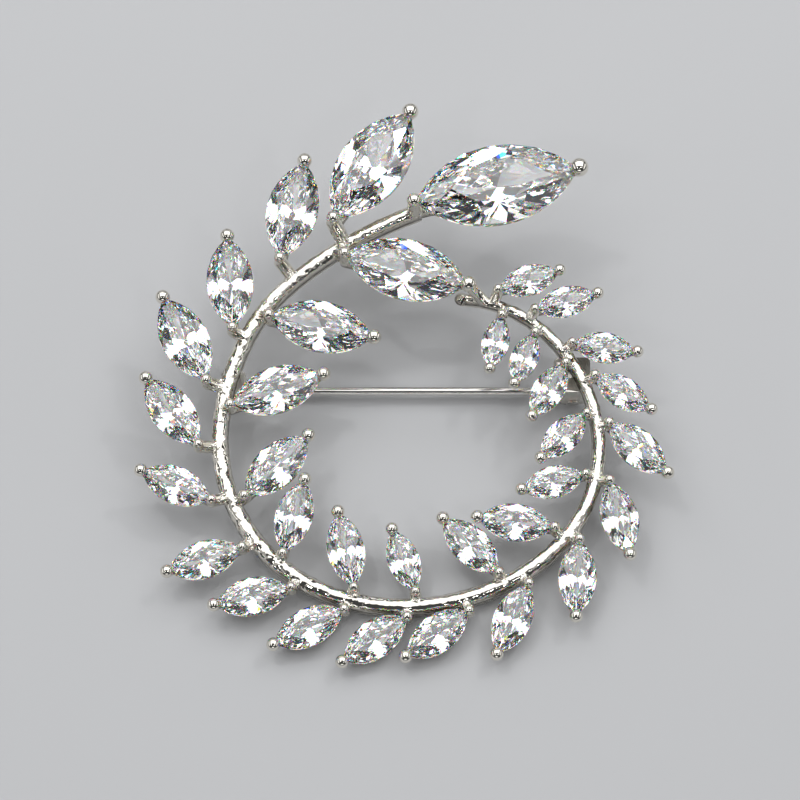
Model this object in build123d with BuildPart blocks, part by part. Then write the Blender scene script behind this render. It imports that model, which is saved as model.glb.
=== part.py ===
from build123d import *

import os
from math import asin, atan2, cos, degrees, hypot, radians, sin

# Driving dimensions, in millimetres and degrees.
# The stem: a cast wire, flat behind and domed in front, wound into an open wreath.
ring_radius = 17.8
stem_width = 1.55
stem_height = 1.6
tail_width = 1.0
tail_height = 1.15
stem_dome_share = 0.45
taper_share = 0.35
stem_sections = 60
blob_radius = 0.65
tail_post_station = 0.02
tail_post_radius = 0.6
post_end_share = 0.6

# The stones: lengths by their place on the branch, and one cut for all of them.
terminal_stone_length = 16.0
top_stone_length = 13.0
throat_stone_length = 12.0
upper_stone_length = 10.0
shoulder_stone_length = 9.0
side_stone_length = 8.0
ring_stone_length = 7.0
small_stone_length = 6.0
tail_stone_length = 5.3
stone_slimness = 0.5
pavilion_share = 0.40
crown_share = 0.14
girdle_share = 0.04
table_share = 0.56
star_share = 0.5
lower_facet_share = 0.72
facets_per_side = 8

# The settings: a hollow leaf-shaped cup for each stone, with a round prong at both ends.
seat_gap = 0.05
collet_back = 0.3
culet_clearance = 0.25
collet_foot_share = 0.6
collet_wall = 0.3
notch_share = 0.99
prong_radius_least = 0.42
prong_growth = 0.030
base_prong_share = 0.8
prong_outset = 0.1
prong_rise = 0.25
prong_wire_share = 0.7
wire_lift = 0.06
stalk_share = 0.9
stalk_height = 0.7
stalk_rise_share = 0.6

# The pin and its fittings, soldered behind the stem.
pin_wire = 0.85
pin_drop = 3.2
pin_level = 4.75
pin_point_start = 0.3
pin_point_radius = 0.1
pin_overhang = 0.9
pin_root_length = 1.6
eye_radius = 1.0
eye_thickness = 0.9
rivet_radius = 0.35
rivet_head_radius = 0.6
rivet_head_thickness = 0.2
rivet_gap = 0.03
swing_gap = 0.08
ear_thickness = 0.5
ear_radius = 1.2
hinge_offset = 0.6
hinge_plate_length = 3.4
fitting_plate = 0.7
solder_depth = 0.3
foot_round = 0.45
catch_length = 2.2
catch_slot_gap = 0.12
catch_offset = 0.3
plate_shift = 0.67
plate_corner = 0.4

# The stem's middle line, from the thin tail round to the terminal leaf.
# Columns: bearing round the wreath's centre, reach as a share of ring_radius.
stem_stations = [
    (68, 0.780),
    (44, 0.885),
    (20, 0.960),
    (-4, 1.015),
    (-28, 1.025),
    (-52, 0.985),
    (-76, 0.955),
    (-100, 0.960),
    (-124, 0.985),
    (-148, 1.000),
    (-172, 0.997),
    (-196, 0.985),
    (-220, 1.010),
    (-244, 1.050),
    (-260, 1.125),
    (-273, 1.228),
]

# The leaves, from the terminal one back to the tail.
# Columns: name, station of the base as a share of the stem's length, side (1 outside the
# wreath, -1 inside), splay from the stem's direction, reach from the stem's middle line in
# stem widths, stone length.
outside = 1
inside = -1
leaves = [
    ("terminal_stone", 0.995, outside, -10, 0.0, terminal_stone_length),
    ("outer_stone_01", 0.925, outside, 24, 1.40, top_stone_length),
    ("outer_stone_02", 0.868, outside, 36, 1.33, upper_stone_length),
    ("outer_stone_03", 0.797, outside, 30, 0.85, shoulder_stone_length),
    ("outer_stone_04", 0.747, outside, 41, 1.20, shoulder_stone_length),
    ("outer_stone_05", 0.693, outside, 35, 1.20, side_stone_length),
    ("outer_stone_06", 0.647, outside, 46, 1.10, ring_stone_length),
    ("outer_stone_07", 0.601, outside, 70, 0.90, ring_stone_length),
    ("outer_stone_08", 0.549, outside, 45, 0.75, ring_stone_length),
    ("outer_stone_09", 0.502, outside, 42, 0.70, ring_stone_length),
    ("outer_stone_10", 0.450, outside, 34, 0.70, ring_stone_length),
    ("outer_stone_11", 0.399, outside, 21, 0.85, ring_stone_length),
    ("outer_stone_12", 0.345, outside, 34, 0.75, ring_stone_length),
    ("outer_stone_13", 0.289, outside, 35, 0.70, ring_stone_length),
    ("outer_stone_14", 0.234, outside, 28, 0.78, ring_stone_length),
    ("outer_stone_15", 0.185, outside, 41, 0.60, ring_stone_length),
    ("outer_stone_16", 0.142, outside, 33, 0.68, small_stone_length),
    ("outer_stone_17", 0.108, outside, 44, 0.58, small_stone_length),
    ("outer_stone_18", 0.065, outside, 49, 0.58, small_stone_length),
    ("outer_stone_19", 0.030, outside, 35, 0.75, small_stone_length),
    ("inner_stone_01", 0.916, inside, -48, 0.90, throat_stone_length),
    ("inner_stone_02", 0.823, inside, -68, 0.70, upper_stone_length),
    ("inner_stone_03", 0.729, inside, -63, 0.55, shoulder_stone_length),
    ("inner_stone_04", 0.639, inside, -70, 0.80, side_stone_length),
    ("inner_stone_05", 0.573, inside, -65, 0.60, ring_stone_length),
    ("inner_stone_06", 0.499, inside, -64, 0.70, ring_stone_length),
    ("inner_stone_07", 0.442, inside, -73, 0.80, small_stone_length),
    ("inner_stone_08", 0.363, inside, -70, 0.65, ring_stone_length),
    ("inner_stone_09", 0.295, inside, -56, 0.88, ring_stone_length),
    ("inner_stone_10", 0.233, inside, -62, 0.68, small_stone_length),
    ("inner_stone_11", 0.173, inside, -57, 0.60, small_stone_length),
    ("inner_stone_12", 0.120, inside, -65, 0.50, small_stone_length),
    ("inner_stone_13", 0.078, inside, -72, 0.58, tail_stone_length),
    ("inner_stone_14", 0.041, inside, -80, 0.70, tail_stone_length),
]


def prong_radius(length):
    """The round head of a tip prong grows a little with its stone."""
    return prong_radius_least + prong_growth * length


def leaf_span(length):
    """From the base prong's middle to the tip prong's middle."""
    return length + 2 * prong_outset


def girdle_height(length):
    """How far the middle of the girdle stands above the stem's flat back."""
    width = length * stone_slimness
    return collet_back + culet_clearance + width * (pavilion_share + girdle_share / 2)


# The middle line of the stem, as a smooth curve that places the stem's sections and the leaves.
line_points = []
for bearing, reach in stem_stations:
    x = ring_radius * reach * cos(radians(bearing))
    y = ring_radius * reach * sin(radians(bearing))
    line_points.append((x, y))
with BuildLine() as stem_line:
    Spline(*line_points)
middle_line = stem_line.edge()


def leaf_base(station, side, reach):
    """Where a leaf's base prong stands, beside the stem."""
    outward = (middle_line % station).rotate(Axis.Z, 90) * side
    return middle_line @ station + outward * (reach * stem_width)


def leaf_plane(station, side, splay, reach, length):
    """The plane of a leaf: its middle at the origin, its tip along X, up along Z."""
    heading = (middle_line % station).rotate(Axis.Z, splay)
    middle = leaf_base(station, side, reach) + heading * (leaf_span(length) / 2)
    return Plane(origin=middle, x_dir=heading, z_dir=(0, 0, 1))


# How the brooch lies: the rounded feet of its two fittings and its lowest leaf touch the
# surface, so the top of the wreath is raised.
fitting_half = eye_thickness / 2 + swing_gap + ear_thickness
fitting_depth = pin_drop + ear_radius
foot_level = pin_level - fitting_half + foot_round
foot_drop = fitting_depth - foot_round
rest_tilt = 90
for name, *place, length in leaves:
    plane = leaf_plane(*place, length)
    prong_height = girdle_height(length) + prong_rise - prong_radius(length)
    cup_end = plane.from_local_coords((collet_foot_share * length / 2, 0, collet_back))
    prong_end = plane.from_local_coords((leaf_span(length) / 2, 0, prong_height))
    for point in (cup_end, prong_end):
        run = foot_level - point.Y
        rise = foot_drop + point.Z
        if run > foot_round:
            lean = degrees(atan2(rise, run) + asin(foot_round / hypot(rise, run)))
            rest_tilt = min(rest_tilt, lean)
tilt_sine = sin(radians(rest_tilt))
tilt_cosine = cos(radians(rest_tilt))
lift = foot_round + foot_drop * tilt_cosine - foot_level * tilt_sine
lying = Plane(origin=(0, 0, lift), x_dir=(1, 0, 0), z_dir=(0, -tilt_sine, tilt_cosine))

# The brooch's own origin: on the surface, under the middle of the outermost prongs.
reaches = []
for name, *place, length in leaves:
    tip_height = girdle_height(length) + prong_rise
    tip = leaf_plane(*place, length).from_local_coords((leaf_span(length) / 2, 0, tip_height))
    head = prong_radius(length)
    middle = lying.from_local_coords(tip)
    reaches += [(middle.X - head, middle.Y - head), (middle.X + head, middle.Y + head)]
middle_x = (min(x for x, y in reaches) + max(x for x, y in reaches)) / 2
middle_y = (min(y for x, y in reaches) + max(y for x, y in reaches)) / 2
resting = Plane(origin=(-middle_x, -middle_y, lift), x_dir=(1, 0, 0), z_dir=(0, -tilt_sine, tilt_cosine))


def outline_arcs(length):
    """A leaf outline: two arcs that meet in a point at each end."""
    half_length = length / 2
    half_width = length * stone_slimness / 2
    ThreePointArc((-half_length, 0), (0, half_width), (half_length, 0))
    ThreePointArc((half_length, 0), (0, -half_width), (-half_length, 0))


def outline_face(length, height):
    """A leaf-shaped face at a height, centred on the leaf."""
    with BuildSketch(Plane.XY.offset(height)) as face:
        with BuildLine():
            outline_arcs(length)
        make_face()
    return face.sketch


def girdle_point(index, length):
    """A corner of the stone's girdle: number 0 is the tip, and the numbers run round it."""
    half_length = length / 2
    half_width = length * stone_slimness / 2
    arc_radius = (half_length ** 2 + half_width ** 2) / (2 * half_width)
    arc_half = degrees(atan2(half_length, arc_radius - half_width))
    side = 1 if index <= facets_per_side else -1
    step = index if side == 1 else index - facets_per_side
    angle = radians(90 - arc_half + step * 2 * arc_half / facets_per_side)
    x = side * arc_radius * cos(angle)
    y = side * (arc_radius * sin(angle) - (arc_radius - half_width))
    return Vector(x, y, 0)


def cut_plane(first, second, third):
    """The plane through three points of a facet, facing away from the stone's middle."""
    normal = (second - first).cross(third - first)
    if normal.dot(first) < 0:
        normal = normal * -1
    return Plane(origin=first, z_dir=normal)


def stone_facets(length):
    """The planes of all the facets of a brilliant-cut leaf-shaped stone, but its table."""
    width = length * stone_slimness
    half_girdle = width * girdle_share / 2
    crown = Vector(0, 0, width * crown_share)
    culet = Vector(0, 0, -half_girdle - width * pavilion_share)
    girdle_edge = Vector(0, 0, half_girdle)
    count = 2 * facets_per_side
    corners = [girdle_point(index, length) for index in range(count)]
    table = [corner * table_share + girdle_edge + crown for corner in corners]
    tangents = [corners[(i + 1) % count] - corners[i - 1] for i in range(count)]
    level = Plane.XY.offset(half_girdle + crown.Z * star_share)
    low_level = Plane.XY.offset(-half_girdle - width * pavilion_share * lower_facet_share)
    facets = []
    for main in range(0, count, 2):
        following = (main + 2) % count
        top = corners[main] + girdle_edge
        bottom = corners[main] - girdle_edge
        next_top = corners[following] + girdle_edge
        next_bottom = corners[following] - girdle_edge
        crown_main = cut_plane(top, top + tangents[main], table[main])
        next_crown_main = cut_plane(next_top, next_top + tangents[following], table[following])
        lower_main = cut_plane(bottom, bottom + tangents[main], culet)
        next_lower_main = cut_plane(next_bottom, next_bottom + tangents[following], culet)
        star_tip = crown_main.intersect(next_crown_main).intersect(level)
        keel = lower_main.intersect(next_lower_main).intersect(low_level)
        between = corners[main + 1]
        facets += [crown_main, lower_main, cut_plane(table[main], table[following], star_tip)]
        upper = between + girdle_edge
        lower = between - girdle_edge
        facets += [cut_plane(top, upper, star_tip), cut_plane(next_top, upper, star_tip)]
        facets += [cut_plane(bottom, lower, keel), cut_plane(next_bottom, lower, keel)]
    return facets


def cut_stone(length):
    """A brilliant-cut leaf-shaped stone: a blank is cut by the plane of each of its facets."""
    width = length * stone_slimness
    table_height = width * (girdle_share / 2 + crown_share)
    culet_depth = width * (girdle_share / 2 + pavilion_share)
    corners = [girdle_point(index, length) for index in range(2 * facets_per_side)]
    with BuildPart() as stone:
        with BuildSketch(Plane.XY.offset(-culet_depth)):
            with BuildLine():
                Polyline(*corners, close=True)
            make_face()
        extrude(amount=culet_depth + table_height)
        for facet in stone_facets(length):
            split(bisect_by=facet, keep=Keep.BOTTOM)
    return stone.part


# Each length of stone once: the terminal stone is cut, and the others are scaled from it.
terminal_cut = cut_stone(terminal_stone_length)
lengths = sorted({leaf[-1] for leaf in leaves})
stone_cuts = {}
for length in lengths:
    with BuildPart() as stone_cut:
        add(terminal_cut)
        scale(by=length / terminal_stone_length)
    stone_cuts[length] = stone_cut.part


def leaf_cup(length):
    """The hollow cup under a stone, open behind, with its rim just clear of the pavilion."""
    width = length * stone_slimness
    rim_drop = width * girdle_share / 2 + (collet_wall + seat_gap) * 2 * pavilion_share
    rim = girdle_height(length) - rim_drop
    hollow_share = 1 - 2 * collet_wall / width
    foot_length = length * collet_foot_share
    with BuildPart() as cup:
        loft([outline_face(foot_length, collet_back), outline_face(length, rim)])
        hollow_foot = outline_face(foot_length * hollow_share, collet_back)
        hollow_rim = outline_face(length * hollow_share, rim)
        loft([hollow_foot, hollow_rim], mode=Mode.SUBTRACT)
    return cup.part


def seat_cutter(length):
    """The two ends of a stone with its clearance, for the notches in its prongs."""
    width = length * stone_slimness
    grown = length * (1 + 2 * seat_gap / width)
    facets = [facet for facet in stone_facets(grown) if abs(facet.origin.X) > grown * notch_share / 2]
    with BuildPart() as cutter:
        add(outline_face(grown, -grown * stone_slimness))
        extrude(amount=2 * grown * stone_slimness)
        for facet in facets:
            split(bisect_by=facet, keep=Keep.BOTTOM)
    return cutter.part


def leaf_prongs(length):
    """The base prong, on the stalk that comes from the stem, and the tip prong up from the cup."""
    head = prong_radius(length)
    wire = head * prong_wire_share
    end = leaf_span(length) / 2
    cup_end = length * collet_foot_share / 2
    head_height = girdle_height(length) + prong_rise
    routes = [
        (Vector(-cup_end, 0, stalk_height), Vector(-end, 0, stalk_height)),
        (Vector(-end, 0, stalk_height), Vector(-end, 0, head_height)),
        (Vector(cup_end, 0, collet_back + wire + wire_lift), Vector(end, 0, head_height)),
    ]
    with BuildPart() as prongs:
        for start, stop in routes:
            with BuildSketch(Plane(origin=start, z_dir=stop - start)):
                Circle(wire)
            extrude(amount=(stop - start).length)
            with Locations(start):
                Sphere(wire)
        with Locations((-end, 0, head_height)):
            Sphere(head * base_prong_share)
        with Locations((end, 0, head_height)):
            Sphere(head)
        add(seat_cutter(length).moved(Location((0, 0, girdle_height(length)))), mode=Mode.SUBTRACT)
    return prongs.part


def leaf_setting(length):
    """A whole setting as it is cast: the cup with its two prongs."""
    with BuildPart() as setting:
        add([leaf_cup(length), leaf_prongs(length)])
    return setting.part


settings = {length: leaf_setting(length) for length in lengths}

# The stem, lofted through its sections: a flat back, upright sides and a domed top.
with BuildPart() as stem:
    for section in range(stem_sections + 1):
        station = section / stem_sections
        fullness = min(1, station / taper_share)
        width = tail_width + fullness * (stem_width - tail_width)
        height = tail_height + fullness * (stem_height - tail_height)
        shoulder = height * (1 - stem_dome_share)
        along = middle_line % station
        with BuildSketch(Plane(middle_line @ station, x_dir=along.rotate(Axis.Z, 90), z_dir=along)):
            with BuildLine():
                Polyline((-width / 2, shoulder), (-width / 2, 0), (width / 2, 0), (width / 2, shoulder))
                ThreePointArc((width / 2, shoulder), (0, height), (-width / 2, shoulder))
            make_face()
    loft(ruled=True)

# Where the pin's line passes under the stem, on the right for the hinge and on the left for the catch.
pin_line = Edge.make_line((-2 * ring_radius, pin_level, 0), (2 * ring_radius, pin_level, 0))
crossings = sorted(vertex.X for vertex in middle_line.intersect(pin_line).vertices())
hinge_x = crossings[-1] - hinge_offset
catch_x = crossings[0] + catch_offset
hinge_plane = Plane(origin=(hinge_x, pin_level, -pin_drop), x_dir=(1, 0, 0), z_dir=(0, -1, 0))
catch_plane = Plane(origin=(catch_x, pin_level, -pin_drop), x_dir=(0, 1, 0), z_dir=(1, 0, 0))
plate_drop = pin_drop - fitting_plate

fitting_height = fitting_depth + solder_depth
wreath_width = 2 * ring_radius
eye_clearance_width = 3 * ear_radius
with BuildSketch(catch_plane) as fitting_profile:
    with Locations((0, fitting_height / 2 - ear_radius)):
        Rectangle(2 * fitting_half, fitting_height)
    fillet(fitting_profile.vertices().group_by(Axis.Z)[0], foot_round)

with BuildPart() as hinge:
    with BuildSketch(hinge_plane):
        Circle(ear_radius)
        with Locations((0, pin_drop / 2)):
            Rectangle(2 * ear_radius, pin_drop)
    extrude(amount=fitting_half, both=True)
    extrude(fitting_profile.sketch, amount=wreath_width, both=True, mode=Mode.INTERSECT)
    with BuildSketch(hinge_plane):
        with Locations((0, plate_drop / 2 - ear_radius)):
            Rectangle(eye_clearance_width, plate_drop + 2 * ear_radius)
    extrude(amount=eye_thickness / 2 + swing_gap, both=True, mode=Mode.SUBTRACT)
    with BuildSketch(hinge_plane):
        Circle(rivet_radius + rivet_gap)
    extrude(amount=2 * fitting_half, both=True, mode=Mode.SUBTRACT)
    with BuildSketch(Plane.XY.offset(-fitting_plate)):
        with Locations((hinge_x - hinge_offset / 2, pin_level + plate_shift)):
            RectangleRounded(hinge_plate_length, 2 * (fitting_half + plate_shift), plate_corner)
    extrude(amount=fitting_plate + solder_depth)

with BuildPart() as catch:
    extrude(fitting_profile.sketch, amount=catch_length / 2, both=True)
    with BuildSketch(catch_plane):
        Circle(pin_wire / 2 + catch_slot_gap)
        with Locations((0, -ear_radius)):
            Rectangle(pin_wire + 2 * catch_slot_gap, 2 * ear_radius)
    extrude(amount=catch_length, both=True, mode=Mode.SUBTRACT)

# Short stalks from the stem to the leaves, and the post that joins the tail to the throat leaf.
with BuildPart() as stalks:
    for name, station, side, splay, reach, length in leaves:
        if reach:
            foot = middle_line @ station + Vector(0, 0, stem_height / 2)
            rise = girdle_height(length) * stalk_rise_share
            base = leaf_base(station, side, reach) + Vector(0, 0, rise)
            stalk_radius = prong_radius(length) * stalk_share
            with BuildSketch(Plane(origin=foot, z_dir=base - foot)):
                Circle(stalk_radius)
            extrude(amount=(base - foot).length)
            with Locations(base):
                Sphere(stalk_radius)
    throat_leaf = next(leaf for leaf in leaves if leaf[0] == "inner_stone_01")
    throat_rise = girdle_height(throat_stone_length) + prong_rise
    throat_tip = (leaf_span(throat_stone_length) / 2, 0, throat_rise)
    throat_head = leaf_plane(*throat_leaf[1:]).from_local_coords(throat_tip)
    post_foot = middle_line @ tail_post_station + Vector(0, 0, tail_height / 2)
    post_length = (throat_head - post_foot).length - prong_radius(throat_stone_length) * post_end_share
    with BuildSketch(Plane(origin=post_foot, z_dir=throat_head - post_foot)):
        Circle(tail_post_radius)
    extrude(amount=post_length)
    with Locations((*line_points[0], tail_height / 2)):
        Sphere(blob_radius)

placed_settings = [leaf_plane(*leaf[1:]).location * settings[leaf[-1]] for leaf in leaves]

with BuildPart() as cast_branch:
    add([stem.part, hinge.part, catch.part, stalks.part, *placed_settings])

# The pin: an eye on the hinge's rivet, a root as thick as the eye, and a straight wire whose
# point starts just before the catch and ends past it.
pin_straight = hinge_x - catch_x - catch_length / 2 - pin_point_start
pin_length = hinge_x - catch_x + catch_length / 2 + pin_overhang
with BuildPart() as pin:
    with BuildSketch(hinge_plane):
        Circle(eye_radius)
    extrude(amount=eye_thickness / 2, both=True)
    with BuildSketch(Plane(origin=(hinge_x, pin_level, -pin_drop), x_dir=(-1, 0, 0), z_dir=(0, 0, 1))):
        with BuildLine():
            Polyline(
                (0, 0),
                (pin_length, 0),
                (pin_length, pin_point_radius),
                (pin_straight, pin_wire / 2),
                (pin_root_length, pin_wire / 2),
                (0, eye_thickness / 2),
                close=True,
            )
        make_face()
    revolve(axis=Axis((hinge_x, pin_level, -pin_drop), (-1, 0, 0)))
    with BuildSketch(hinge_plane):
        Circle(rivet_radius + rivet_gap)
    extrude(amount=eye_thickness, both=True, mode=Mode.SUBTRACT)

# The rivet, through the ears and the eye, with a flat head outside each ear.
with BuildPart() as rivet:
    with BuildSketch(hinge_plane):
        Circle(rivet_radius)
    extrude(amount=fitting_half + rivet_gap + rivet_head_thickness, both=True)
    for end in (-1, 1):
        with BuildSketch(hinge_plane.offset(end * (fitting_half + rivet_gap))):
            Circle(rivet_head_radius)
        extrude(amount=end * rivet_head_thickness)

# Every piece as the brooch lies, each in a file of its own.
os.makedirs("parts", exist_ok=True)

with BuildPart(resting) as branch_frame:
    add(cast_branch.part)
branch_frame.part.label = "branch_frame"
export_step(branch_frame.part, "parts/branch_frame.step")

with BuildPart(resting) as pin_stem:
    add(pin.part)
pin_stem.part.label = "pin_stem"
export_step(pin_stem.part, "parts/pin_stem.step")

with BuildPart(resting) as hinge_rivet:
    add(rivet.part)
hinge_rivet.part.label = "hinge_rivet"
export_step(hinge_rivet.part, "parts/hinge_rivet.step")

for name, *place, length in leaves:
    seat = leaf_plane(*place, length).offset(girdle_height(length))
    with BuildPart(resting * seat.location) as stone:
        add(stone_cuts[length])
    stone.part.label = name
    export_step(stone.part, f"parts/{name}.step")
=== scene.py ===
# %% [markdown]
# # An olive branch brooch
#
# The brooch is a branch of cast metal wound into an open wreath, with a clear leaf-shaped stone
# at each leaf and a hinged pin behind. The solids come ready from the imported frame, at their
# real size and in their real place, so this lesson is about what makes them look real: the
# polished casting, the cut stones and the light they need.

# %% Load the frame
from math import atan2, cos, degrees, hypot, pi, radians, sin, tan

import bpy
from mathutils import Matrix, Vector


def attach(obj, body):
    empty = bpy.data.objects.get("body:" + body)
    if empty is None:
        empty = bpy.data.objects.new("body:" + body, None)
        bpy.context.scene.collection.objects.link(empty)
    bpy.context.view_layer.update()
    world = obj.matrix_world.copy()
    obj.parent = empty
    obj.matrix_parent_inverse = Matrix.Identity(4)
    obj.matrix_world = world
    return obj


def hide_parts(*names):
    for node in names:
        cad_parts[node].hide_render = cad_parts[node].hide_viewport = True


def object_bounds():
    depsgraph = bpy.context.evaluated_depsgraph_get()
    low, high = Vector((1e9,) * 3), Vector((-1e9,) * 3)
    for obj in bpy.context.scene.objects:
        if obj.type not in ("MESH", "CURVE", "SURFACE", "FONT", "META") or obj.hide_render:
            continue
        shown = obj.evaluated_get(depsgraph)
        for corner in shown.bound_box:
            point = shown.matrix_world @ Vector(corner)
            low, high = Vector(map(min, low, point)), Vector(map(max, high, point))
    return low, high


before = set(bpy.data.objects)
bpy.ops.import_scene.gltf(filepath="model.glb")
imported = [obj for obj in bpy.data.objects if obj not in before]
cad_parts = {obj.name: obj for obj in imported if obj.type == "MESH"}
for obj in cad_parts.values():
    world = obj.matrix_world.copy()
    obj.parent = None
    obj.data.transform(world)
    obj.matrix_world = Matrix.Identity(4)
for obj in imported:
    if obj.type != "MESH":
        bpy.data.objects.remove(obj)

cad_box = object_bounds()
mm = 0.001
bpy.ops.object.select_all(action="DESELECT")
print("nodes in the frame:", len(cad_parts))
print("lowest corner of the brooch's box, in mm:", [round(value / mm, 2) for value in cad_box[0]])
print("highest corner of the brooch's box, in mm:", [round(value / mm, 2) for value in cad_box[1]])

# %% [markdown]
# ## The camera
#
# A brooch this small is photographed with a long lens from an arm's length, so its leaves keep
# their shapes from the near edge to the far one. The camera stands in front of the brooch and
# looks down on it at 64 degrees. It could be aimed with a constraint, but working the turn out
# once keeps the scene free of links: the camera simply looks along a line to a point just above
# the middle of the wreath.

# %% Place the camera
camera_elevation = 64
camera_distance = 190 * mm
camera_lens = 90
film_width = 36
nearest_seen = 1 * mm
camera_target = Vector((-0.38, -0.98, 4.12)) * mm

towards_camera = Vector((0, -cos(radians(camera_elevation)), sin(radians(camera_elevation))))
bpy.ops.object.camera_add(
    location=camera_target + towards_camera * camera_distance,
    rotation=towards_camera.to_track_quat("Z", "Y").to_euler(),
)
camera = bpy.context.object
camera.name = "photo_camera"
camera.data.lens = camera_lens
camera.data.sensor_width = film_width
camera.data.clip_start = nearest_seen
bpy.context.scene.camera = camera
print("camera stands at, in mm:", [round(value / mm, 1) for value in camera.location])

# %% [markdown]
# ## Small helpers for materials
#
# Every finish below is a node tree, and node trees written out in full hide what they are for.
# One function turns a hex colour, as a painter would pick it, into the linear numbers Blender
# works with. Another adds a node, sets its sockets and joins its links in one call.

# %% Colours and nodes
def colour(hex_code):
    """An sRGB hex colour as linear red, green, blue and an alpha of 1."""
    channels = [int(hex_code[start:start + 2], 16) / 255 for start in (0, 2, 4)]
    linear = [c / 12.92 if c <= 0.04045 else ((c + 0.055) / 1.055) ** 2.4 for c in channels]
    return (*linear, 1)


def add_node(material, kind, settings=None, **links):
    """Adds a node. settings are its properties and sockets by name, links are sockets to join."""
    node = material.node_tree.nodes.new(kind)
    for name, value in (settings or {}).items():
        if name in node.inputs:
            node.inputs[name].default_value = value
        else:
            setattr(node, name, value)
    for name, source in links.items():
        material.node_tree.links.new(source, node.inputs[name.replace("_", " ")])
    return node


def new_material(name):
    """An empty node material."""
    material = bpy.data.materials.new(name)
    material.use_nodes = True
    material.node_tree.nodes.clear()
    return material


def show(material, shader):
    """Sends a shader to the material's surface."""
    output = add_node(material, "ShaderNodeOutputMaterial")
    material.node_tree.links.new(shader.outputs[0], output.inputs["Surface"])
    return material


polished_plate = colour("e8e4da")
print("the polished plate in linear numbers:", [round(value, 3) for value in polished_plate])

# %% [markdown]
# ## The plated casting
#
# The branch is cast brass with a bright rhodium plate, which is a little warmer than chrome. The
# polishing wheel made mirrors of the prongs' heads. It didn't reach the low metal between the
# leaves, which keeps the wavy skin of the mould. That low metal is also painted darker: painted
# shade, standing in for the shade low on the stem's sides and between stem and leaves. The pin
# fittings behind are stamped, so they are smooth, with a satin sheen, and they are painted paler
# than the plate: painted light that lifts them out of the shade under the stem. A painted mask
# could say which metal is which. Here height does it: the finish measures how far a point stands
# above the stem's back, and as it rises it turns from stamped, with painted light, to cast, with
# painted shade, and then to polished, in the plate's own colour.

# %% Where the brooch lies
# The brooch lies on its pin fittings and its lowest leaf, with the top raised.
rest_tilt = radians(10.455)
wreath_centre = Vector((0.318, -3.926, 3.578)) * mm
back_height = wreath_centre.z * cos(rest_tilt) - wreath_centre.y * sin(rest_tilt)
print("the stem's back is", round(back_height / mm, 2), "mm from the origin, measured square to it")

# %% Measure height in the plating
plate = new_material("rhodium_plate_on_casting")
plate_place = add_node(plate, "ShaderNodeTexCoord").outputs["Object"]
laid_flat = {"Rotation": (-rest_tilt, 0, 0), "Location": (0, 0, -back_height)}
flat_place = add_node(plate, "ShaderNodeMapping", laid_flat, Vector=plate_place)
three_ways = add_node(plate, "ShaderNodeSeparateXYZ", Vector=flat_place.outputs["Vector"])
plate_height = three_ways.outputs["Z"]
print("nodes that measure the height:", len(plate.node_tree.nodes))

# %% Paint light and shade into the plating by height
# Painted light and shade by height: the stamped fittings are painted pale to lift them out of the
# stem's shade, the low cast metal is painted dark as shade, and high metal keeps the plate's
# colour.
fitting_painted_light, painted_shade_colour = colour("f2efe8"), colour("706c64")
fitting_top, unshaded_from = 0.35 * mm, 1.15 * mm
shade_from, shade_to = 0.45 * mm, 0.7 * mm

colour_span = {"From Min": fitting_top, "From Max": unshaded_from}
level = add_node(plate, "ShaderNodeMapRange", colour_span, Value=plate_height)
tone = add_node(plate, "ShaderNodeValToRGB", Fac=level.outputs["Result"])
# The first stop is painted light on the fittings, paler than the plate to offset the stem's shade.
tone.color_ramp.elements[0].color = fitting_painted_light
tone.color_ramp.elements[1].color = polished_plate
# These two middle stops paint shade onto the low metal.
for shade_level in (shade_from, shade_to):
    stop = tone.color_ramp.elements.new((shade_level - fitting_top) / (unshaded_from - fitting_top))
    stop.color = painted_shade_colour
print("stops of the colour:", [round(stop.position, 3) for stop in tone.color_ramp.elements])

# %% Set the sheen by height
# The fittings are satin, and the casting above them shines.
skin_from = 0.6 * mm
satin_roughness, polished_roughness = 0.45, 0.07

off_fittings = {"From Min": fitting_top, "From Max": skin_from}
satin_to_polished = {**off_fittings, "To Min": satin_roughness, "To Max": polished_roughness}
sheen = add_node(plate, "ShaderNodeMapRange", satin_to_polished, Value=plate_height)
print("roughness of the plating:", satin_roughness, "to", polished_roughness)

# %% Set the waves by height
# The fittings have none. On the casting they are strong when it is low and faint when it is high.
wavy_below, smooth_above = 1.2 * mm, 2.0 * mm
wavy_strength, smooth_strength = 0.8, 0.12

wavy_to_smooth = {
    "From Min": wavy_below,
    "From Max": smooth_above,
    "To Min": wavy_strength,
    "To Max": smooth_strength,
}
relief = add_node(plate, "ShaderNodeMapRange", wavy_to_smooth, Value=plate_height)
cast_share = add_node(plate, "ShaderNodeMapRange", off_fittings, Value=plate_height)
strength = add_node(plate, "ShaderNodeMath", {"operation": "MULTIPLY"})
plate.node_tree.links.new(relief.outputs["Result"], strength.inputs[0])
plate.node_tree.links.new(cast_share.outputs["Result"], strength.inputs[1])
print("strength of the waves:", wavy_strength, "to", smooth_strength)

# %% Finish the plating
wave_size, wave_depth = 0.42 * mm, 0.075 * mm

soft_noise = {"Scale": 1 / wave_size, "Detail": 1, "Roughness": 0.5}
waves = add_node(plate, "ShaderNodeTexNoise", soft_noise, Vector=plate_place)
skin_bump = add_node(
    plate,
    "ShaderNodeBump",
    {"Distance": wave_depth},
    Strength=strength.outputs["Value"],
    Height=waves.outputs["Fac"],
)
# The base colour carries the painted light and shade of the colour ramp.
plate_shader = add_node(
    plate,
    "ShaderNodeBsdfPrincipled",
    {"Metallic": 1},
    Base_Color=tone.outputs["Color"],
    Roughness=sheen.outputs["Result"],
    Normal=skin_bump.outputs["Normal"],
)
show(plate, plate_shader)
print("metal finish:", plate.name, "with", len(plate.node_tree.nodes), "nodes")

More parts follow.
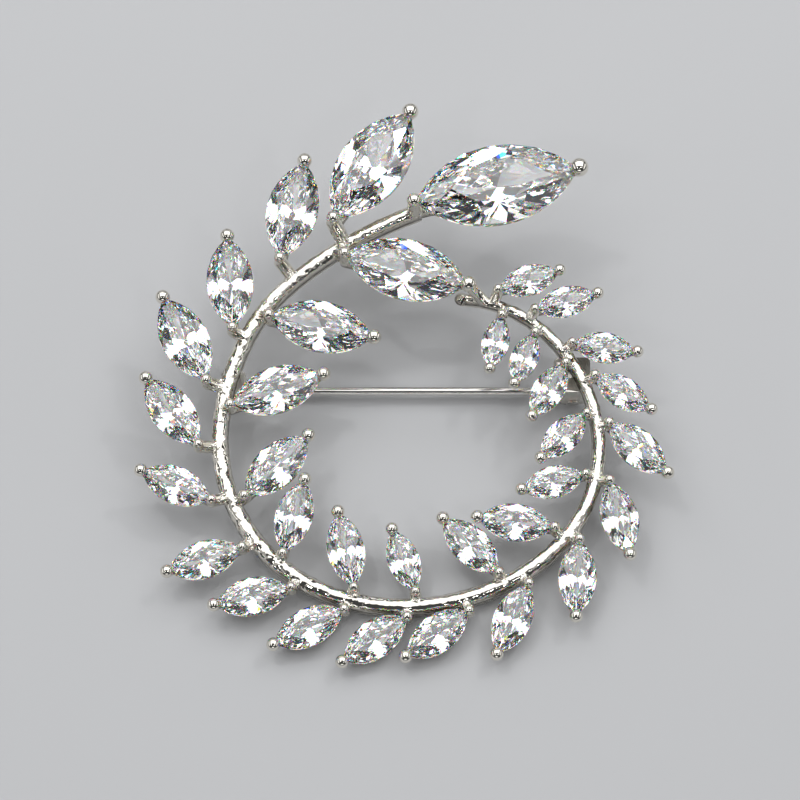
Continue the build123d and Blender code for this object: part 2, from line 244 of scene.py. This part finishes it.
# %% [markdown]
# ## The pin's wire
#
# The pin and its rivet are drawn steel wire with a thin plate. The hole that the wire is drawn
# through leaves faint lines along it, which soften its shine. They could be modelled, but they
# are far finer than any mesh needs to be. A noise stretched along the pin draws them as coarse
# as they need to be to show.

# %% Make the pin's wire
def pin_wire_steel():
    """Drawn wire: smooth round it, with faint lines along it."""
    material = new_material("drawn_pin_wire")
    place = add_node(material, "ShaderNodeTexCoord").outputs["Object"]
    stretch = 20
    along_pin = {"Scale": (1 / stretch, 1, 1)}
    stretched = add_node(material, "ShaderNodeMapping", along_pin, Vector=place)
    line_width, line_depth = 0.03 * mm, 0.002 * mm
    fine_noise = {"Scale": 1 / line_width, "Detail": 1}
    lines = add_node(
        material, "ShaderNodeTexNoise", fine_noise, Vector=stretched.outputs["Vector"]
    )
    faint = {"Strength": 0.2, "Distance": line_depth}
    bump = add_node(material, "ShaderNodeBump", faint, Height=lines.outputs["Fac"])
    steel = {"Base Color": colour("dedcd8"), "Metallic": 1, "Roughness": 0.16}
    shader = add_node(
        material, "ShaderNodeBsdfPrincipled", steel, Normal=bump.outputs["Normal"]
    )
    return show(material, shader)


wire_steel = pin_wire_steel()
print("wire finish:", wire_steel.name)

# %% [markdown]
# ## The stones
#
# The leaves are clear cubic zirconia. It bends light more than glass does, and it bends blue
# more than red, which is where the small coloured flashes come from. A single glass shader
# can't split light, so three are added together where light enters the stone, one for each
# primary colour, each with its own refractive index. Inside, one plain glass shader turns the
# light: splitting it again at every facet would tint the whole stone.

# %% Make the clear stone
def clear_stone():
    """Cubic zirconia: light parts into colours as it enters, and turns inside like white light."""
    material = new_material("clear_cubic_zirconia")
    middle_index = 2.165
    # Each row is a share of white light, in linear numbers, and the index that bends it.
    shares = [
        ((0.9, 0.1, 0.0, 1), 2.152),
        ((0.1, 0.8, 0.1, 1), middle_index),
        ((0.0, 0.1, 0.9, 1), 2.18),
    ]
    entering = None
    for share, index in shares:
        polished_glass = {"Color": share, "IOR": index, "Roughness": 0}
        glass = add_node(material, "ShaderNodeBsdfGlass", polished_glass)
        if entering is None:
            entering = glass
        else:
            both = add_node(material, "ShaderNodeAddShader")
            material.node_tree.links.new(entering.outputs[0], both.inputs[0])
            material.node_tree.links.new(glass.outputs[0], both.inputs[1])
            entering = both
    inside = add_node(material, "ShaderNodeBsdfGlass", {"IOR": middle_index, "Roughness": 0})
    side = add_node(material, "ShaderNodeNewGeometry")
    whole = add_node(material, "ShaderNodeMixShader", Fac=side.outputs["Backfacing"])
    material.node_tree.links.new(entering.outputs[0], whole.inputs[1])
    material.node_tree.links.new(inside.outputs[0], whole.inputs[2])
    return show(material, whole)


stone_finish = clear_stone()
print("stone finish:", stone_finish.name)

# %% Give the frame's nodes their finishes
def dress(node, finish):
    """Gives a node one finish, in place of those it came with."""
    node.data.materials.clear()
    node.data.materials.append(finish)


for name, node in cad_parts.items():
    if "stone" in name:
        dress(node, stone_finish)
    elif name != "branch_frame":
        dress(node, wire_steel)
print("nodes dressed:", len(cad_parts) - 1)

# %% [markdown]
# ## The casting
#
# The solid of the branch has the right shape, but its stem is as clean as a drawing. On the real
# brooch the stem was cast in a mould and only its high places were reached by the polishing
# wheel, so it is uneven: smooth where it is free, and lumpy where the leaves crowd it. The whole
# stem could be built anew. Here a copy of the solid is kept, because its settings and prongs are
# right already, and only the stem is worked on. Its long triangles are joined into bands, the
# bands are cut across, and a soft noise then pushes the corners in and out by up to a tenth of a
# millimetre.

# %% Copy the casting
bpy.ops.object.select_all(action="DESELECT")
solid_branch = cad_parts["branch_frame"]
solid_branch.select_set(True)
bpy.context.view_layer.objects.active = solid_branch
bpy.ops.object.duplicate()
casting = bpy.context.object
casting.name = "cast_branch"
dress(casting, plate)

weld_distance = 0.001 * mm
bpy.ops.object.mode_set(mode="EDIT")
bpy.ops.mesh.select_all(action="SELECT")
bpy.ops.mesh.remove_doubles(threshold=weld_distance)
bpy.ops.mesh.select_all(action="DESELECT")
bpy.ops.object.mode_set(mode="OBJECT")
print("corners in the casting after welding:", len(casting.data.vertices))

# %% Find the stem
# The stem's middle line is a table: bearing round the wreath's centre in degrees, and reach as a
# share of the ring's radius. All sizes here are in millimetres.
ring_radius = 17.8
stem_width = 1.55
stem_height = 1.6
stem_stations = [
    (68, 0.780), (44, 0.885), (20, 0.960), (-4, 1.015), (-28, 1.025), (-52, 0.985),
    (-76, 0.955), (-100, 0.960), (-124, 0.985), (-148, 1.000), (-172, 0.997), (-196, 0.985),
    (-220, 1.010), (-244, 1.050), (-260, 1.125), (-273, 1.228),
]
past_tail = 5
skin_margin = 0.1


def in_flat_brooch(point):
    """A point of the lying brooch, in millimetres from the wreath's centre and the stem's back."""
    away = (point - wreath_centre) / mm
    along = away.y * cos(rest_tilt) + away.z * sin(rest_tilt)
    up = away.z * cos(rest_tilt) - away.y * sin(rest_tilt)
    return Vector((away.x, along, up))


def bearing_of(flat):
    """The bearing of a point, running backwards from the tail to the terminal leaf."""
    bearing = degrees(atan2(flat.y, flat.x))
    return bearing - 360 if bearing > stem_stations[0][0] + past_tail else bearing


def reach_at(bearing):
    """How far the stem's middle line is from the centre at a bearing, in millimetres."""
    for (start, start_reach), (end, end_reach) in zip(stem_stations, stem_stations[1:]):
        if bearing >= end:
            share = (start - bearing) / (start - end)
            return ring_radius * (start_reach + share * (end_reach - start_reach))
    return ring_radius * stem_stations[-1][1]


def on_stem(flat):
    """Whether a point belongs to the stem, or to metal that touches it."""
    beside = abs(hypot(flat.x, flat.y) - reach_at(bearing_of(flat)))
    level_with_it = -skin_margin < flat.z < stem_height + skin_margin
    return beside < stem_width / 2 + skin_margin and level_with_it


flat_corners = [in_flat_brooch(vertex.co) for vertex in casting.data.vertices]
stem_corners = [on_stem(flat) for flat in flat_corners]
print("corners on the stem:", sum(stem_corners))

# %% Join the stem's long triangles into bands
# Two long triangles side by side make a band. A band is cut across evenly, where a long triangle
# would be cut into many more pieces than the noise needs.
flattest_bend, any_shape = radians(20), radians(180)
for face in casting.data.polygons:
    face.select = all(stem_corners[corner] for corner in face.vertices)
bpy.ops.object.mode_set(mode="EDIT")
bpy.context.tool_settings.mesh_select_mode = (False, False, True)
bpy.ops.mesh.tris_convert_to_quads(face_threshold=flattest_bend, shape_threshold=any_shape)
bpy.ops.mesh.select_all(action="DESELECT")
bpy.ops.object.mode_set(mode="OBJECT")
print("bands on the stem:", sum(len(face.vertices) == 4 for face in casting.data.polygons))

# %% Cut the bands across
# Sizes are in millimetres. The flat back isn't seen, so its edges stay whole.
long_edge = 0.6
back_level = 0.05
cuts = 7
for edge in casting.data.edges:
    first, second = edge.vertices
    length = (flat_corners[first] - flat_corners[second]).length
    behind = flat_corners[first].z < back_level and flat_corners[second].z < back_level
    edge.select = stem_corners[first] and stem_corners[second] and length > long_edge and not behind
print("long edges:", sum(edge.select for edge in casting.data.edges))
bpy.ops.object.mode_set(mode="EDIT")
bpy.context.tool_settings.mesh_select_mode = (False, True, False)
bpy.ops.mesh.subdivide(number_cuts=cuts)
bpy.ops.mesh.select_all(action="DESELECT")
bpy.ops.object.mode_set(mode="OBJECT")
print("corners in the casting now:", len(casting.data.vertices))

# %% Say how rough the stem is
# Between these bearings the leaves crowd the stem, so it has its full share of lumps.
crowded_from, crowded_to = -225, -120
crowded_share, free_share = 1.0, 0.5
skin = casting.vertex_groups.new(name="cast_skin")
for vertex in casting.data.vertices:
    flat = in_flat_brooch(vertex.co)
    if on_stem(flat):
        crowded = crowded_from < bearing_of(flat) < crowded_to
        skin.add([vertex.index], crowded_share if crowded else free_share, "REPLACE")
print("share of the lumps:", crowded_share, "where it is crowded and", free_share, "elsewhere")

# %% Roughen the stem
# The noise runs from 0 to 1, and its middle leaves a corner where it is.
lump_size, lump_height = 0.55 * mm, 0.2 * mm
ripple = bpy.data.textures.new("cast_ripple", "CLOUDS")
ripple.noise_scale = lump_size
ripple.noise_depth = 1
roughen = casting.modifiers.new("roughen", "DISPLACE")
roughen.texture = ripple
roughen.texture_coords = "LOCAL"
roughen.vertex_group = skin.name
roughen.strength = lump_height
roughen.mid_level = 0.5
bpy.context.view_layer.objects.active = casting
bpy.ops.object.modifier_apply(modifier=roughen.name)

smooth_below = radians(35)
bpy.ops.object.select_all(action="DESELECT")
casting.select_set(True)
bpy.ops.object.shade_smooth_by_angle(angle=smooth_below)
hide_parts("branch_frame")
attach(casting, "brooch")
triangles = sum(len(face.vertices) - 2 for face in casting.data.polygons)
print("triangles in the casting:", triangles)

# %% [markdown]
# ## Floor and light
#
# Bright metal and clear stones show little of themselves: what is seen is the room around them.
# So the room is the design. The floor is a pale sheet with a faint tooth. A picture of a studio
# could light it all at once, but lamps can be moved one at a time. Wide soft lamps stand round
# the brooch with dark gaps between them, because a facet sparkles only when its neighbour is
# dark, and four small ones give the brightest sparks.

# %% Lay the floor
def pale_paper():
    """The pale sheet under the brooch, with a faint tooth."""
    material = new_material("pale_paper")
    place = add_node(material, "ShaderNodeTexCoord").outputs["Object"]
    tooth_size, tooth_depth = 0.35 * mm, 0.02 * mm
    grain = {"Scale": 1 / tooth_size, "Detail": 3}
    tooth = add_node(material, "ShaderNodeTexNoise", grain, Vector=place)
    faint = {"Strength": 0.15, "Distance": tooth_depth}
    bump = add_node(material, "ShaderNodeBump", faint, Height=tooth.outputs["Fac"])
    paper = {"Base Color": colour("c4c5c7"), "Roughness": 0.85}
    shader = add_node(
        material, "ShaderNodeBsdfPrincipled", paper, Normal=bump.outputs["Normal"]
    )
    return show(material, shader)


floor_size = 1.2
bpy.ops.object.select_all(action="DESELECT")
bpy.ops.mesh.primitive_plane_add(size=floor_size, location=(0, 0, cad_box[0][2]))
floor = bpy.context.object
floor.name = "pale_floor"
bpy.ops.object.transform_apply(location=True, rotation=False, scale=False)
floor.data.materials.append(pale_paper())
print("floor at, in mm:", round(cad_box[0][2] / mm, 3))

# %% Hang the lamps
# Columns: name, bearing round the brooch and height above the floor, how wide and how tall the
# lamp looks from the brooch, all in degrees, and its brightness, where 1 is white paper.
lamps = [
    ("overhead_softbox", 90, 70, 88, 66, 1.55),
    ("back_softbox", 90, 18, 90, 10, 1.0),
    ("left_softbox", 182, 20, 60, 14, 1.4),
    ("right_softbox", -2, 20, 60, 14, 1.3),
    ("front_softbox", -90, 18, 34, 8, 2.2),
    ("near_left_fill", -156, 50, 30, 30, 0.35),
    ("near_right_fill", -24, 50, 30, 30, 0.35),
    ("left_spark", 140, 66, 4, 4, 40),
    ("right_spark", 38, 55, 4, 4, 40),
    ("front_spark", -62, 52, 3, 3, 40),
    ("front_left_spark", -128, 50, 3, 3, 40),
]
# A lamp gives off pi times its brightness from each square metre.
lamp_distance = 400 * mm
wreath_middle = Vector((0, 0, 4)) * mm
for name, bearing, height, spread_across, spread_up, brightness in lamps:
    out, up = cos(radians(height)), sin(radians(height))
    away = Vector((out * cos(radians(bearing)), out * sin(radians(bearing)), up))
    bpy.ops.object.light_add(
        type="AREA",
        location=wreath_middle + away * lamp_distance,
        rotation=away.to_track_quat("Z", "Y").to_euler(),
    )
    lamp = bpy.context.object
    lamp.name = name
    lamp.data.shape = "RECTANGLE"
    lamp.data.size = 2 * lamp_distance * tan(radians(spread_across / 2))
    lamp.data.size_y = 2 * lamp_distance * tan(radians(spread_up / 2))
    lamp.data.energy = brightness * pi * lamp.data.size * lamp.data.size_y
print("lamps:", [lamp[0] for lamp in lamps])

# %% Set the room's own light
room_glow = 0.12
room = bpy.data.worlds.new("studio_room")
room.use_nodes = True
background = room.node_tree.nodes["Background"]
background.inputs["Color"].default_value = colour("b9bcc0")
background.inputs["Strength"].default_value = room_glow
bpy.context.scene.world = room
bpy.context.scene.view_settings.view_transform = "Standard"
print("the room's own light:", room_glow)

# %% Let light turn inside the stones
# Light that enters a stone turns many times before it leaves.
turns_in_stone, turns_on_metal = 24, 12
bpy.context.scene.cycles.max_bounces = turns_in_stone
bpy.context.scene.cycles.transmission_bounces = turns_in_stone
bpy.context.scene.cycles.glossy_bounces = turns_on_metal
print("light bounces:", bpy.context.scene.cycles.max_bounces)
